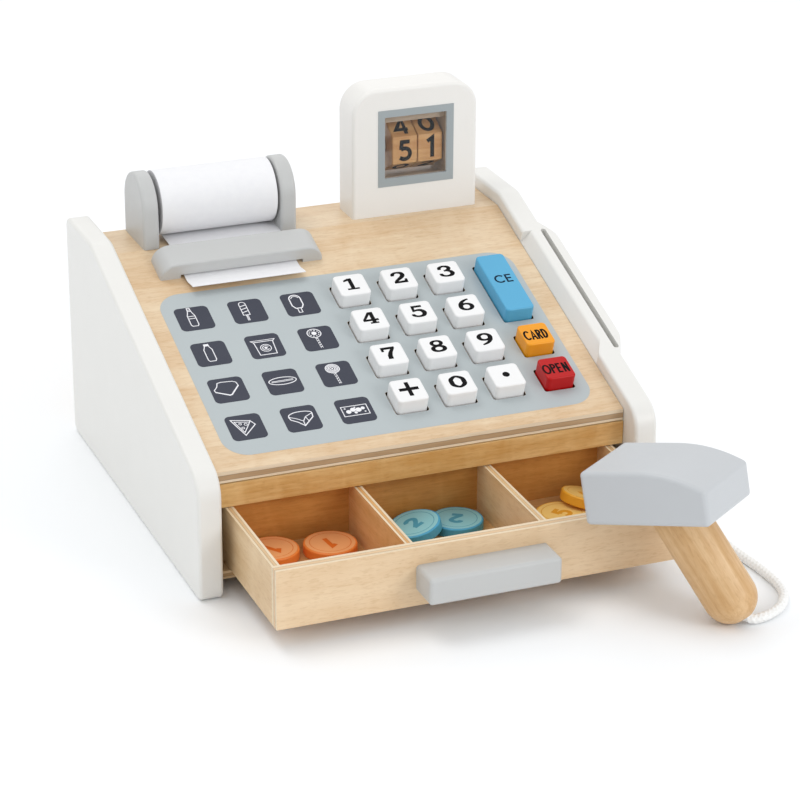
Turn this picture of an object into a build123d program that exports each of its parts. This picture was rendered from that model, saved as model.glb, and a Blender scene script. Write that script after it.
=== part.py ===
from build123d import *
import math
import os

# Wooden toy cash register: a white-sided case with a sloping keypad deck, a drawer that stands open,
# a two-drum number display, a paper roll, a card slot and a hand scanner on a rope.
# Millimetres. While it is being built, x = 0 is the middle of the case, y = 0 the front edge of the
# side panels, +Y runs to the back and z = 0 is the table. The finished pieces are moved so that the
# origin is the middle of the footprint.

FOOTPRINT_CENTRE = Vector(3.0, 49.4, 0)

# case
CASE_WIDTH = 236.0
PANEL = 12.0
CASE_DEPTH = 217.0
PANEL_TOP = 120.0
PANEL_EDGE = 1.8
INNER = CASE_WIDTH / 2 - PANEL
FIT_GAP = 0.3
PLY = 6.0
WOOD_TOP = 113.0
SLOPE_DEG = 18.87
KINK_Y = 171.7
DECK_FRONT_Y = 13.7
TOP_REAR_Y = 205.0
DECK_FRONT_Z = WOOD_TOP - (KINK_Y - DECK_FRONT_Y) * math.tan(math.radians(SLOPE_DEG))
PLY_VERTICAL = PLY / math.cos(math.radians(SLOPE_DEG))
PANEL_RISE = PANEL_TOP - WOOD_TOP
PANEL_EDGE_HEIGHT = PANEL_RISE * math.cos(math.radians(SLOPE_DEG))
RAIL_Y = 13.2
RAIL_BOTTOM = 40.8
BASE_TOP = 10.3
BASE_THICK = 4.0
BASE_FRONT_Y = 8.0
RUNNER_TOP = 26.0
RUNNER_WIDTH = 5.4
RUNNER_Y = (26.0, 150.0)
CLOSED_TRAVEL = 71.0
STOP_SIZE = (16.0, 8.0, 14.0)

# card slot in the right panel, along the slope: u across from the left inner face, v up the slope
SLOT_X = (116.0, 118.8)
SLOT_V = (37.0, 135.0)
SLOT_DEPTH = 24.0
CHEEK_THICK = 6.0
CHEEK_V = (33.0, 142.0)
CHEEK_DROP = 40.0
CHEEK_ROOT = 4.0
SCOOP_WIDTH = 4.9
SCOOP_V = (34.0, 134.8)

# keys
KEY_WIDTH = 16.2
KEY_LENGTH = 16.0
KEY_HEIGHT = 7.7
KEY_COLUMNS = [108.06 + 25.63 * i for i in range(3)]
KEY_ROWS = [28.3 + 27.4 * j for j in range(4)]
TALL_KEY_U = 186.4
TALL_KEY_WIDTH = 15.4
CE_LENGTH = 44.6
KEY_GAP = 0.5
KEY_HOLE_CORNER = 1.2
FLANGE_RIM = 1.7
FLANGE_THICK = 2.0
PEG_RADIUS = 2.0
PEG_END_DEPTH = 19.0
KEY_BOARD_DEPTH = 14.0
KEY_BOARD_THICK = 3.0
SPRING_WIRE = 0.6
SPRING_RADIUS = 3.1
SPRING_TURNS = 4

# drawer, as it stands open
DRAWER_FRONT_Y = -57.8
DRAWER_BACK_Y = 21.5
DRAWER_HALF = 100.2
DRAWER_BOTTOM = 10.7
DRAWER_TOP = 40.3
DRAWER_BACK_TOP = 45.5
DRAWER_FRONT_THICK = 6.0
DRAWER_WALL = 4.0
FLOOR_TOP = 13.5
DIVIDER_X = 33.5
DIVIDER_THICK = 3.8
HANDLE_X = (-32.4, 33.4)
HANDLE_DEPTH = 17.2
HANDLE_Z = (18.3, 31.5)

COIN_RADIUS = 13.0
COIN_THICK = 5.0

# paper roll and its stand
POST_X = ((-89.7, -81.2), (-16.0, -7.4))
POST_Y = (171.0, 205.0)
POST_RADIUS = (POST_Y[1] - POST_Y[0]) / 2
POST_EDGE = 1.6
ROLL_AXIS_Y = 188.0
ROLL_AXIS_Z = 132.0
ROLL_X = (-79.2, -17.4)
ROLL_RADIUS = 16.7
DOWEL_RADIUS = 5.7
ROLL_BORE = DOWEL_RADIUS + 0.08
STRIP_X = (-76.0, -16.0)
STRIP_THICK = 0.3
BAR_U = (17.4, 103.9)
BAR_V = (141.5, 158.5)
BAR_HEIGHT = 8.8
BAR_FOOT = 10.6
BAR_NOTCH = 2.2

# number display
BOX_X = (25.6, 95.4)
BOX_Y = (176.5, 197.5)
BOX_TOP = 182.0
BOX_CORNER = 14.0
WINDOW_X = (43.4, 77.9)
WINDOW_Z = (133.6, 166.7)
PANE_X = (39.7, 81.9)
PANE_Z = (129.0, 170.5)
PANE_THICK = 0.7
BEZEL_THICK = 0.3
DRUM_Y = 192.1
DRUM_Z = 147.0
DRUM_SIDE = 14.6
DRUM_X = ((48.9, 62.8), (63.3, 77.0))
AXLE_RADIUS = 2.0
AXLE_X = (33.0, 95.2)

# scanner, in its own axes: a from nose to butt, w across, h up
SCANNER_NOSE = Vector(46.9, -69.9, 43.2)
SCANNER_AZIMUTH = -52.07
SCANNER_TILT_X = -11.66
SCANNER_TILT_Y = -5.3
HEAD_LENGTH = 62.8
HEAD_WIDTH = 47.5
HEAD_HEIGHT = 25.7
HEAD_BUTT_HEIGHT = 16.8
HEAD_FLAT = 29.0
HEAD_EDGE = 2.2
GRIP_START = 34.2
GRIP_ACROSS = 25.0
GRIP_LEAN = 27.2
GRIP_RADIUS = 12.9
GRIP_LENGTH = 47.0
TENON_RADIUS = 7.0
TENON_LENGTH = 11.0

CORD_RADIUS = 2.4
CORD_END = Vector(104.0, 172.0, 14.0)
CORD_Z = 2.5

WOOD_SCREW_LENGTH = 13.0

pieces = {}
wood_screws = []


def add_wood_screw(place):
    """A countersunk screw whose head lies at a place and whose shank runs up its z axis."""
    shank = place * Cylinder(1.2, WOOD_SCREW_LENGTH, align=(Align.CENTER, Align.CENTER, Align.MIN))
    head = place * Cylinder(2.4, 1.4, align=(Align.CENTER, Align.CENTER, Align.MIN))
    wood_screws.append(shank + head)
    return wood_screws[-1]


def block(x, y, z):
    """A box between three pairs of limits."""
    size = [b - a for a, b in (x, y, z)]
    middle = [(a + b) / 2 for a, b in (x, y, z)]
    return Pos(*middle) * Box(*size)


def rod(start, end, radius):
    """A round bar between two points."""
    start, end = Vector(*start), Vector(*end)
    along = end - start
    return Plane(origin=start, z_dir=along) * Cylinder(
        radius, along.length, align=(Align.CENTER, Align.CENTER, Align.MIN)
    )


def along_x(left, right, y, z, radius):
    """A round bar that lies across the case."""
    return rod((left, y, z), (right, y, z), radius)


def side_profile(points, radii, x):
    """A closed outline in (y, z) with rounded corners, drawn out between two x values."""
    outline = FilletPolyline(*points, radius=radii, close=True)
    return Pos(x[0], 0, 0) * extrude(Plane.YZ * make_face(outline), x[1] - x[0])


def soften(solid, radius, edges=None):
    """Round the edges of a solid."""
    return fillet(solid.edges() if edges is None else edges, radius)


DECK = Plane(
    origin=(-INNER, DECK_FRONT_Y, DECK_FRONT_Z),
    x_dir=(1, 0, 0),
    z_dir=(0, -math.sin(math.radians(SLOPE_DEG)), math.cos(math.radians(SLOPE_DEG))),
)
DECK_UP = Axis(DECK.origin, DECK.z_dir)


def on_deck(u, v, h=0.0):
    """A place on the sloping deck: across, up the slope, above it."""
    return DECK * Pos(u, v, h)


def deck_block(u, v, h):
    """A box between limits measured on the deck."""
    size = [b - a for a, b in (u, v, h)]
    middle = [(a + b) / 2 for a, b in (u, v, h)]
    return on_deck(*middle) * Box(*size)


def keep(name, shape, *more):
    """Store the solids of one node."""
    pieces[name] = [shape, *more]


def panel_blank(x):
    slope = math.tan(math.radians(SLOPE_DEG))
    front_z = PANEL_TOP - KINK_Y * slope
    points = [(0, 0), (0, front_z), (KINK_Y, PANEL_TOP), (CASE_DEPTH, PANEL_TOP), (CASE_DEPTH, 0)]
    radii = [4.0, 14.0, 16.0, 4.5, 5.0]
    return soften(side_profile(points, radii, x), PANEL_EDGE)


def dowel_places():
    """Centres of the dowels on the left side, the right side mirrors them."""
    deck_middle = on_deck(0, 0, -PLY / 2)
    places = [(RAIL_Y + PLY / 2, (RAIL_BOTTOM + DECK_FRONT_Z) / 2 - 2.0)]
    for v in (20, 84, 148):
        spot = (deck_middle * Pos(0, v, 0)).position
        places.append((spot.Y, spot.Z))
    places.append((188.0, WOOD_TOP - PLY / 2))
    for z in (30.0, 80.0):
        places.append((TOP_REAR_Y - PLY / 2, z))
    return places


DOWEL_REACH = 8.0
CASE_DOWEL_RADIUS = 2.0


def case_dowels():
    rods = []
    for y, z in dowel_places():
        for side in (-1, 1):
            ends = sorted((side * (INNER - DOWEL_REACH), side * (INNER + DOWEL_REACH)))
            rods.append(rod((ends[0], y, z), (ends[1], y, z), CASE_DOWEL_RADIUS))
    return rods


def with_dowel_holes(shape):
    for pin in case_dowels():
        shape = shape - pin
    return shape


def card_slot():
    """The round-ended groove a toy card is swiped through."""
    across = (SLOT_X[0] + SLOT_X[1]) / 2 + INNER
    outline = SlotOverall(SLOT_V[1] - SLOT_V[0], SLOT_X[1] - SLOT_X[0], rotation=90)
    return on_deck(across, sum(SLOT_V) / 2, PANEL_RISE - SLOT_DEPTH) * extrude(outline, SLOT_DEPTH + 9)


def slot_cheek():
    """The thicker outer wall beside the card slot, rooted in the panel."""
    outer = CASE_WIDTH / 2 + INNER
    low, high = CHEEK_V
    plan = FilletPolyline(
        (outer - CHEEK_ROOT, low),
        (outer, low),
        (outer + CHEEK_THICK, low + 14),
        (outer + CHEEK_THICK, high - 11),
        (outer, high),
        (outer - CHEEK_ROOT, high),
        radius=[0.3, 1.5, 14.0, 14.0, 1.5, 0.3],
        close=True,
    )
    cheek = on_deck(0, 0, PANEL_EDGE_HEIGHT - CHEEK_DROP) * extrude(make_face(plan), CHEEK_DROP)
    rims = [e for e in cheek.edges() if above_deck(e) > PANEL_EDGE_HEIGHT - 0.01
            and DECK.to_local_coords(e.center()).X > outer + 0.5]
    return soften(cheek, 1.6, rims)


def card_scoop():
    """The sloping face beside the deck that gives fingers room at the card slot."""
    low, high = SCOOP_V
    wide = SCOOP_WIDTH + 1.5
    plan = FilletPolyline(
        (2 * INNER - 9, high),
        (2 * INNER + wide, high),
        (2 * INNER + wide, low + 13),
        (2 * INNER, low),
        (2 * INNER - 9, low),
        radius=[1.0, 1.5, 9.0, 2.0, 1.0],
        close=True,
    )
    steep = PANEL_EDGE_HEIGHT / SCOOP_WIDTH
    top = PANEL_EDGE_HEIGHT + 0.02
    section = FilletPolyline(
        (-3, -3 * steep), (SCOOP_WIDTH, top), (SCOOP_WIDTH + 6, top), (SCOOP_WIDTH + 6, top + 9),
        (-3, top + 9),
        radius=[0.3, 2.5, 0.3, 0.3, 0.3],
        close=True,
    )
    run = Plane(origin=on_deck(2 * INNER, high + 1).position, x_dir=(1, 0, 0), z_dir=DECK.y_dir * -1)
    prism = run * extrude(make_face(section), high - low + 2)
    return prism & (on_deck(0, 0, -8) * extrude(make_face(plan), 26))


def build_case():
    inner_face = INNER - FIT_GAP
    left = with_dowel_holes(panel_blank((-CASE_WIDTH / 2, -INNER)))
    keep("side_panel_left", left)

    cord_hole = rod(
        (INNER - 1, CORD_END.Y, CORD_END.Z), (CASE_WIDTH / 2 + 1, CORD_END.Y, CORD_END.Z),
        CORD_RADIUS + 0.4,
    )
    right = panel_blank((INNER, CASE_WIDTH / 2)) + slot_cheek() - card_slot() - card_scoop() - cord_hole
    keep("side_panel_right", with_dowel_holes(right))

    deck_points = [
        (DECK_FRONT_Y, DECK_FRONT_Z),
        (KINK_Y, WOOD_TOP),
        (KINK_Y, WOOD_TOP - PLY_VERTICAL),
        (DECK_FRONT_Y, DECK_FRONT_Z - PLY_VERTICAL),
    ]
    deck = side_profile(deck_points, [0.5, 0.05, 0.05, 0.5], (-inner_face, inner_face))
    for name, u, v, wide, long in key_places():
        grown = deck_block(
            (u - wide / 2 - KEY_GAP, u + wide / 2 + KEY_GAP),
            (v - long / 2 - KEY_GAP, v + long / 2 + KEY_GAP),
            (-20, 20),
        )
        deck = deck - soften(grown, KEY_HOLE_CORNER, grown.edges().filter_by(DECK_UP))
    keep("deck_panel", with_dowel_holes(deck))

    top_board = block((-inner_face, inner_face), (KINK_Y, TOP_REAR_Y), (WOOD_TOP - PLY, WOOD_TOP))
    keep("top_panel", with_dowel_holes(top_board))
    back = block(
        (-inner_face, inner_face),
        (TOP_REAR_Y - PLY, TOP_REAR_Y),
        (BASE_TOP - BASE_THICK, WOOD_TOP - PLY),
    )
    keep("back_panel", with_dowel_holes(back))
    base = block(
        (-inner_face, inner_face), (BASE_FRONT_Y, TOP_REAR_Y - PLY), (BASE_TOP - BASE_THICK, BASE_TOP)
    )
    rail = block(
        (-inner_face, inner_face),
        (RAIL_Y, RAIL_Y + PLY),
        (RAIL_BOTTOM, DECK_FRONT_Z - PLY_VERTICAL - 0.1),
    )
    keep("front_rail", with_dowel_holes(rail))

    runners = []
    for side in (-1, 1):
        x = sorted((side * inner_face, side * (inner_face - RUNNER_WIDTH + FIT_GAP)))
        runners.append(block(x, RUNNER_Y, (BASE_TOP, RUNNER_TOP)))
    for side in (-1, 1):
        for y in (38.0, 88.0, 138.0):
            x = side * (inner_face - RUNNER_WIDTH / 2)
            screw = add_wood_screw(Pos(x, y, BASE_TOP - BASE_THICK))
            base = base - screw
            runners = [runner - screw for runner in runners]
    closed_back = DRAWER_BACK_Y + DRAWER_WALL + CLOSED_TRAVEL
    wide, long, tall = STOP_SIZE
    stops = [
        block((x - wide / 2, x + wide / 2), (closed_back, closed_back + long), (BASE_TOP, BASE_TOP + tall))
        for x in (-70.0, 70.0)
    ]
    keep("base_panel", base)
    keep("drawer_guides", *runners, *stops)
    keep("case_dowels", *case_dowels())


def key_places():
    """Name, centre across and up the deck, width and length of every key."""
    labels = [["plus", "0", "dot"], ["7", "8", "9"], ["4", "5", "6"], ["1", "2", "3"]]
    places = []
    for row, names in zip(KEY_ROWS, labels):
        for column, name in zip(KEY_COLUMNS, names):
            places.append((f"key_{name}", column, row, KEY_WIDTH, KEY_LENGTH))
    places.append(("key_open", TALL_KEY_U, KEY_ROWS[0], TALL_KEY_WIDTH, 15.6))
    places.append(("key_card", TALL_KEY_U, KEY_ROWS[1] - 1.0, TALL_KEY_WIDTH, 15.8))
    places.append(("key_ce", TALL_KEY_U, (KEY_ROWS[2] + KEY_ROWS[3]) / 2, TALL_KEY_WIDTH, CE_LENGTH))
    return places


def peg_places(v, long):
    """Up-slope places of the pegs under one key."""
    return [v] if long < 30 else [v - 13.0, v + 13.0]


def coil_spring(u, v):
    """A compression spring between a key's flange and the key board."""
    bottom = -KEY_BOARD_DEPTH + SPRING_WIRE / 2 + 0.05
    top = -(PLY + 0.1 + FLANGE_THICK) - SPRING_WIRE / 2 - 0.05
    coil = Helix((top - bottom) / SPRING_TURNS, top - bottom, SPRING_RADIUS)
    section = Plane(origin=coil @ 0, z_dir=coil % 0) * Circle(SPRING_WIRE / 2)
    return on_deck(u, v, bottom) * sweep(section, path=coil)


def build_keys():
    flange_top = -(PLY + 0.1)
    board = deck_block(
        (90.0, 204.0), (14.0, 134.0), (-KEY_BOARD_DEPTH - KEY_BOARD_THICK, -KEY_BOARD_DEPTH)
    )
    springs = []
    for name, u, v, wide, long in key_places():
        cap = deck_block((u - wide / 2, u + wide / 2), (v - long / 2, v + long / 2), (flange_top, KEY_HEIGHT))
        cap = soften(cap, 2.2, cap.edges().filter_by(DECK_UP))
        cap = soften(cap, 0.9, cap.faces().sort_by(DECK_UP)[-1].edges())
        flange = deck_block(
            (u - wide / 2 - FLANGE_RIM, u + wide / 2 + FLANGE_RIM),
            (v - long / 2 - FLANGE_RIM, v + long / 2 + FLANGE_RIM),
            (flange_top - FLANGE_THICK, flange_top),
        )
        key = cap + flange
        for peg_v in peg_places(v, long):
            foot = on_deck(u, peg_v, -PEG_END_DEPTH) * Cylinder(
                PEG_RADIUS, PEG_END_DEPTH + flange_top - 1, align=(Align.CENTER, Align.CENTER, Align.MIN)
            )
            key = key + foot
            board = board - on_deck(u, peg_v, -KEY_BOARD_DEPTH) * Cylinder(PEG_RADIUS + 0.08, 20)
            springs.append(coil_spring(u, peg_v))
        keep(name, key)
    battens = [
        deck_block(u, (16.0, 132.0), (-KEY_BOARD_DEPTH, -PLY)) for u in ((90.0, 96.4), (198.0, 204.0))
    ]
    deck = pieces["deck_panel"][0]
    for u in (93.2, 201.0):
        for v in (24.0, 124.0):
            screw = add_wood_screw(on_deck(u, v, -KEY_BOARD_DEPTH - KEY_BOARD_THICK))
            board = board - screw
            battens = [batten - screw for batten in battens]
            deck = deck - screw
    keep("deck_panel", deck)
    keep("wood_screws", *wood_screws)
    keep("key_board", board)
    keep("key_board_battens", *battens)
    keep("key_springs", *springs)


def build_drawer():
    front = block(
        (-DRAWER_HALF, DRAWER_HALF),
        (DRAWER_FRONT_Y, DRAWER_FRONT_Y + DRAWER_FRONT_THICK),
        (DRAWER_BOTTOM, DRAWER_TOP),
    )
    inside_y = (DRAWER_FRONT_Y + DRAWER_FRONT_THICK, DRAWER_BACK_Y)
    inside_x = DRAWER_HALF - DRAWER_WALL
    for name, side in (("left", -1), ("right", 1)):
        x = sorted((side * inside_x, side * DRAWER_HALF))
        wall = block(x, (inside_y[0], DRAWER_BACK_Y + DRAWER_WALL), (DRAWER_BOTTOM, DRAWER_TOP))
        keep(f"drawer_side_{name}", wall)
        middle = side * DIVIDER_X
        thin = (middle - DIVIDER_THICK / 2, middle + DIVIDER_THICK / 2)
        keep(f"drawer_divider_{name}", block(thin, inside_y, (FLOOR_TOP, DRAWER_TOP - 0.3)))
    keep(
        "drawer_back",
        block(
            (-inside_x, inside_x),
            (DRAWER_BACK_Y, DRAWER_BACK_Y + DRAWER_WALL),
            (DRAWER_BOTTOM, DRAWER_BACK_TOP),
        ),
    )
    keep("drawer_floor", block((-inside_x, inside_x), inside_y, (DRAWER_BOTTOM + 0.2, FLOOR_TOP)))
    handle = block(
        HANDLE_X, (DRAWER_FRONT_Y - HANDLE_DEPTH, DRAWER_FRONT_Y), HANDLE_Z
    )
    outer_edges = [e for e in handle.edges() if e.center().Y < DRAWER_FRONT_Y - 0.01]
    handle = soften(handle, 1.8, outer_edges)
    screws = []
    for x in (-18.0, 18.0):
        z = sum(HANDLE_Z) / 2
        inner = inside_y[0]
        shank = rod((x, inner, z), (x, inner - 15, z), 1.5)
        head = rod((x, inner, z), (x, inner - 1.6, z), 3.0)
        screws.append(shank + head)
        front = front - shank - head
        handle = handle - shank
    keep("drawer_front", front)
    keep("drawer_handle", handle)
    keep("drawer_handle_screws", *screws)

    disc = soften(Cylinder(COIN_RADIUS, COIN_THICK), 0.7)
    lie = FLOOR_TOP + COIN_THICK / 2
    keep("coin_orange_left", Pos(-79.4, 7.6, lie) * disc)
    keep("coin_orange_right", Pos(-51.6, 3.6, lie) * disc)
    keep("coin_blue_flat", Pos(14.6, 6.4, lie) * disc)
    keep("coin_blue_leaning", Pos(-8.6, 3.0, lean_height(13.2)) * Rot(0, -13.2, 0) * disc)
    keep("coin_yellow_flat", Pos(64.6, -6.2, lie) * disc)
    toward = Rot(0, 0, 20) * Rot(0, 15.8, 0)
    keep("coin_yellow_leaning", Pos(81.6, 2.0, lean_height(15.8)) * toward * disc)


def lean_height(angle):
    """Height of the middle of a coin whose lower rim rests on the drawer floor."""
    lean = math.radians(angle)
    return FLOOR_TOP + 0.1 + COIN_RADIUS * math.sin(lean) + COIN_THICK / 2 * math.cos(lean)


def build_roll():
    spine = along_x(POST_X[0][0] + 4, POST_X[1][1] - 4, ROLL_AXIS_Y, ROLL_AXIS_Z, DOWEL_RADIUS)
    for name, x in zip(("left", "right"), POST_X):
        wall = block(x, POST_Y, (WOOD_TOP, ROLL_AXIS_Z))
        cap = along_x(*x, sum(POST_Y) / 2, ROLL_AXIS_Z, POST_RADIUS)
        post = wall + cap
        rims = [e for e in post.edges() if e.center().Z > WOOD_TOP + 0.01]
        post = soften(post, POST_EDGE, rims)
        keep(f"roll_post_{name}", post - spine)
    keep("roll_dowel", spine)
    roll = along_x(*ROLL_X, ROLL_AXIS_Y, ROLL_AXIS_Z, ROLL_RADIUS)
    bore = along_x(ROLL_X[0] - 1, ROLL_X[1] + 1, ROLL_AXIS_Y, ROLL_AXIS_Z, ROLL_BORE)
    keep("paper_roll", soften(roll, 0.4) - bore)

    # the strip leaves the roll underneath, bends down the slope and runs out under the bar
    under = ROLL_AXIS_Z - ROLL_RADIUS - 0.5
    bend = (on_deck(0, 166.0, 1.0)).position
    out = (on_deck(0, 143.0, 1.1)).position
    dip = (on_deck(0, 136.5, 1.5)).position
    tip = (on_deck(0, 128.4, 4.6)).position
    lane = Spline(
        (ROLL_AXIS_Y, under), (bend.Y, bend.Z), (out.Y, out.Z), (dip.Y, dip.Z), (tip.Y, tip.Z),
        tangents=[(-1, 0), (-1, -0.05)],
    )
    ribbon = trace(lane, STRIP_THICK)
    keep("paper_strip", Pos(STRIP_X[0], 0, 0) * extrude(Plane.YZ * ribbon, STRIP_X[1] - STRIP_X[0]))

    left, right = BAR_U
    arch = make_face(
        Polyline((left, 0), (left + BAR_FOOT, 0), (left + BAR_FOOT, BAR_NOTCH), (right - BAR_FOOT, BAR_NOTCH),
                 (right - BAR_FOOT, 0), (right, 0))
        + CenterArc((right - BAR_HEIGHT, 0), BAR_HEIGHT, 0, 90)
        + Line((right - BAR_HEIGHT, BAR_HEIGHT), (left + BAR_HEIGHT, BAR_HEIGHT))
        + CenterArc((left + BAR_HEIGHT, 0), BAR_HEIGHT, 90, 90)
    )
    lane_plane = Plane(
        origin=on_deck(0, BAR_V[1], 0).position, x_dir=(1, 0, 0), z_dir=DECK.y_dir * -1
    )
    bar = lane_plane * extrude(arch, BAR_V[1] - BAR_V[0])
    rims = [e for e in bar.edges() if e.geom_type == GeomType.CIRCLE or (e.length > 40 and above_deck(e) > 8)]
    keep("paper_guide_bar", soften(bar, 1.0, rims))


def above_deck(edge):
    """Height of an edge's middle over the deck."""
    return DECK.to_local_coords(edge.center()).Z


def build_display():
    body = block(BOX_X, BOX_Y, (WOOD_TOP, BOX_TOP))
    corners = [e for e in body.edges().filter_by(Axis.Y) if e.center().Z > WOOD_TOP + 1]
    body = soften(body, BOX_CORNER, corners)
    rims = [e for e in body.edges() if e.center().Z > WOOD_TOP + 0.01 and not e.is_interior
            and (abs(e.center().Y - BOX_Y[0]) < 0.01 or abs(e.center().Y - BOX_Y[1]) < 0.01)]
    body = soften(body, 1.8, rims)
    front_y = BOX_Y[0]
    body = body - block(PANE_X, (front_y - 1, front_y + PANE_THICK), PANE_Z)
    body = body - block(WINDOW_X, (front_y - 1, front_y + 4), WINDOW_Z)
    well = DRUM_SIDE + 1.0
    body = body - block(WINDOW_X, (front_y + 3, BOX_Y[1] + 1), (DRUM_Z - well, DRUM_Z + well))
    axle = along_x(*AXLE_X, DRUM_Y, DRUM_Z, AXLE_RADIUS)
    bore = along_x(AXLE_X[0], BOX_X[1] + 1, DRUM_Y, DRUM_Z, AXLE_RADIUS + 0.02)
    keep("display_housing", body - bore)
    keep("drum_axle", axle)
    pane = block(PANE_X, (front_y, front_y + PANE_THICK), PANE_Z)
    keep("display_window", pane)
    frame = block(PANE_X, (front_y - BEZEL_THICK, front_y), PANE_Z)
    frame = frame - block(WINDOW_X, (front_y - 1, front_y + 1), WINDOW_Z)
    keep("display_bezel", frame)
    for name, x in zip(("left", "right"), DRUM_X):
        outline = Rot(0, 0, 30) * RegularPolygon(DRUM_SIDE, 6)
        drum = Pos(x[0], DRUM_Y, DRUM_Z) * extrude(Plane.YZ * outline, x[1] - x[0])
        drum = soften(drum, 0.7)
        drum = drum - along_x(x[0] - 1, x[1] + 1, DRUM_Y, DRUM_Z, AXLE_RADIUS + 0.06)
        keep(f"number_drum_{name}", drum)
    collar = along_x(WINDOW_X[0] + 0.3, DRUM_X[0][0] - 0.4, DRUM_Y, DRUM_Z, 4.0)
    bore = along_x(WINDOW_X[0] - 1, DRUM_X[0][0] + 1, DRUM_Y, DRUM_Z, AXLE_RADIUS)
    keep("drum_spacer", collar - bore)


def scanner_place():
    return Pos(*SCANNER_NOSE) * Rot(SCANNER_TILT_X, 0, 0) * Rot(0, SCANNER_TILT_Y, 0) * Rot(
        0, 0, SCANNER_AZIMUTH
    )


def grip_axis():
    """Start and tip centre of the handle, in the scanner's axes."""
    lean = math.radians(GRIP_LEAN)
    start = Vector(GRIP_START, GRIP_ACROSS, 0)
    direction = Vector(math.sin(lean), 0, -math.cos(lean))
    return start, direction


def build_scanner():
    drop = HEAD_HEIGHT - HEAD_BUTT_HEIGHT
    run = HEAD_LENGTH - HEAD_FLAT
    crown = (run * run + drop * drop) / (2 * drop)
    half_turn = math.asin(run / crown) / 2
    middle = (
        HEAD_FLAT + crown * math.sin(half_turn),
        HEAD_HEIGHT - crown * (1 - math.cos(half_turn)),
    )
    outline = make_face(
        Polyline((HEAD_LENGTH, HEAD_BUTT_HEIGHT), (HEAD_LENGTH, 0), (0, 0), (0, HEAD_HEIGHT),
                 (HEAD_FLAT, HEAD_HEIGHT))
        + ThreePointArc((HEAD_FLAT, HEAD_HEIGHT), middle, (HEAD_LENGTH, HEAD_BUTT_HEIGHT))
    )
    head = Pos(0, HEAD_WIDTH, 0) * extrude(Plane.XZ * outline, HEAD_WIDTH)
    head = soften(head, HEAD_EDGE)
    start, direction = grip_axis()
    tip = start + direction * GRIP_LENGTH
    stick = rod((start - direction * 12), tip, GRIP_RADIUS)
    stick = stick + Pos(*tip) * Sphere(GRIP_RADIUS)
    stick = stick - Pos(0, 0, 30) * Box(400, 400, 60)
    tenon = rod((start + direction * 8), (start - direction * TENON_LENGTH), TENON_RADIUS)
    socket = rod((start + direction * 8), (start - direction * (TENON_LENGTH + 0.4)), TENON_RADIUS)
    place = scanner_place()
    cord_exit, exit_way = cord_mouth()
    bore = rod(cord_exit - exit_way * 16, cord_exit + exit_way * 4, CORD_RADIUS + 0.4)
    mouth = rod(cord_exit - exit_way * 5, cord_exit + exit_way * 4, CORD_RADIUS + 1.7)
    keep("scanner_head", place * (head - socket))
    keep("scanner_handle", place * (stick + tenon) - bore - mouth)


def cord_mouth():
    """Where the cord leaves the handle's tip, and which way: straight out of its end."""
    start, direction = grip_axis()
    place = scanner_place()
    tip = (place * Pos(*(start + direction * GRIP_LENGTH))).position
    way = (tip - (place * Pos(*start)).position).normalized()
    return tip + way * GRIP_RADIUS, way


def cord_route():
    """The cord's points, from inside the handle round and back into the case's side."""
    mouth, way = cord_mouth()
    landing = mouth + way * ((mouth.Z - CORD_Z) / -way.Z)
    on_table = [(122.7, -111.2), (133.9, -104.0), (141.7, -90.8), (142.4, -70.2), (138.5, -40.0),
                (139.6, -4.0), (137.4, 34.0), (139.4, 74.0), (137.2, 112.0)]
    return (
        [landing - way * 11.5, landing]
        + [Vector(x, y, CORD_Z) for x, y in on_table]
        + [Vector(138.0, 144.0, 3.6), Vector(130.5, CORD_END.Y, CORD_END.Z), CORD_END]
    )


def build_cord():
    points = cord_route()
    radii = []
    for before, here, after in zip(points, points[1:], points[2:]):
        first, second = here - before, after - here
        turn = math.radians(first.get_angle(second))
        radii.append(0.45 * min(first.length, second.length) / math.tan(turn / 2))
    print("cord turn radii", [round(r, 1) for r in radii])
    path = FilletPolyline(*points, radius=radii)
    section = Plane(origin=path @ 0, z_dir=path % 0) * Circle(CORD_RADIUS)
    cord = sweep(section, path=path)
    ideal = path.length * math.pi * CORD_RADIUS**2
    print("cord length", round(path.length, 1), "volume ratio", round(cord.volume / ideal, 4))
    keep("scanner_cord", cord)


build_case()
build_keys()
build_drawer()
build_roll()
build_display()
build_scanner()
build_cord()

os.makedirs("parts", exist_ok=True)
shift = Pos(*(FOOTPRINT_CENTRE * -1))
solid_bodies = []
for name, shapes in pieces.items():
    solids = [shift * solid for shape in shapes for solid in shape.solids()]
    node = Compound(children=solids) if len(solids) > 1 else solids[0]
    node.label = name
    export_step(node, f"parts/{name}.step")
    if name != "scanner_cord":
        solid_bodies.append(node)
box = Compound(children=[Compound(solids_of.solids()) for solids_of in solid_bodies]).bounding_box()
print("nodes", len(pieces))
print("box without the cord", box.min, box.max)
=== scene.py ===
import math

import bpy
from mathutils import Matrix, Vector
from mathutils.geometry import tessellate_polygon


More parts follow.
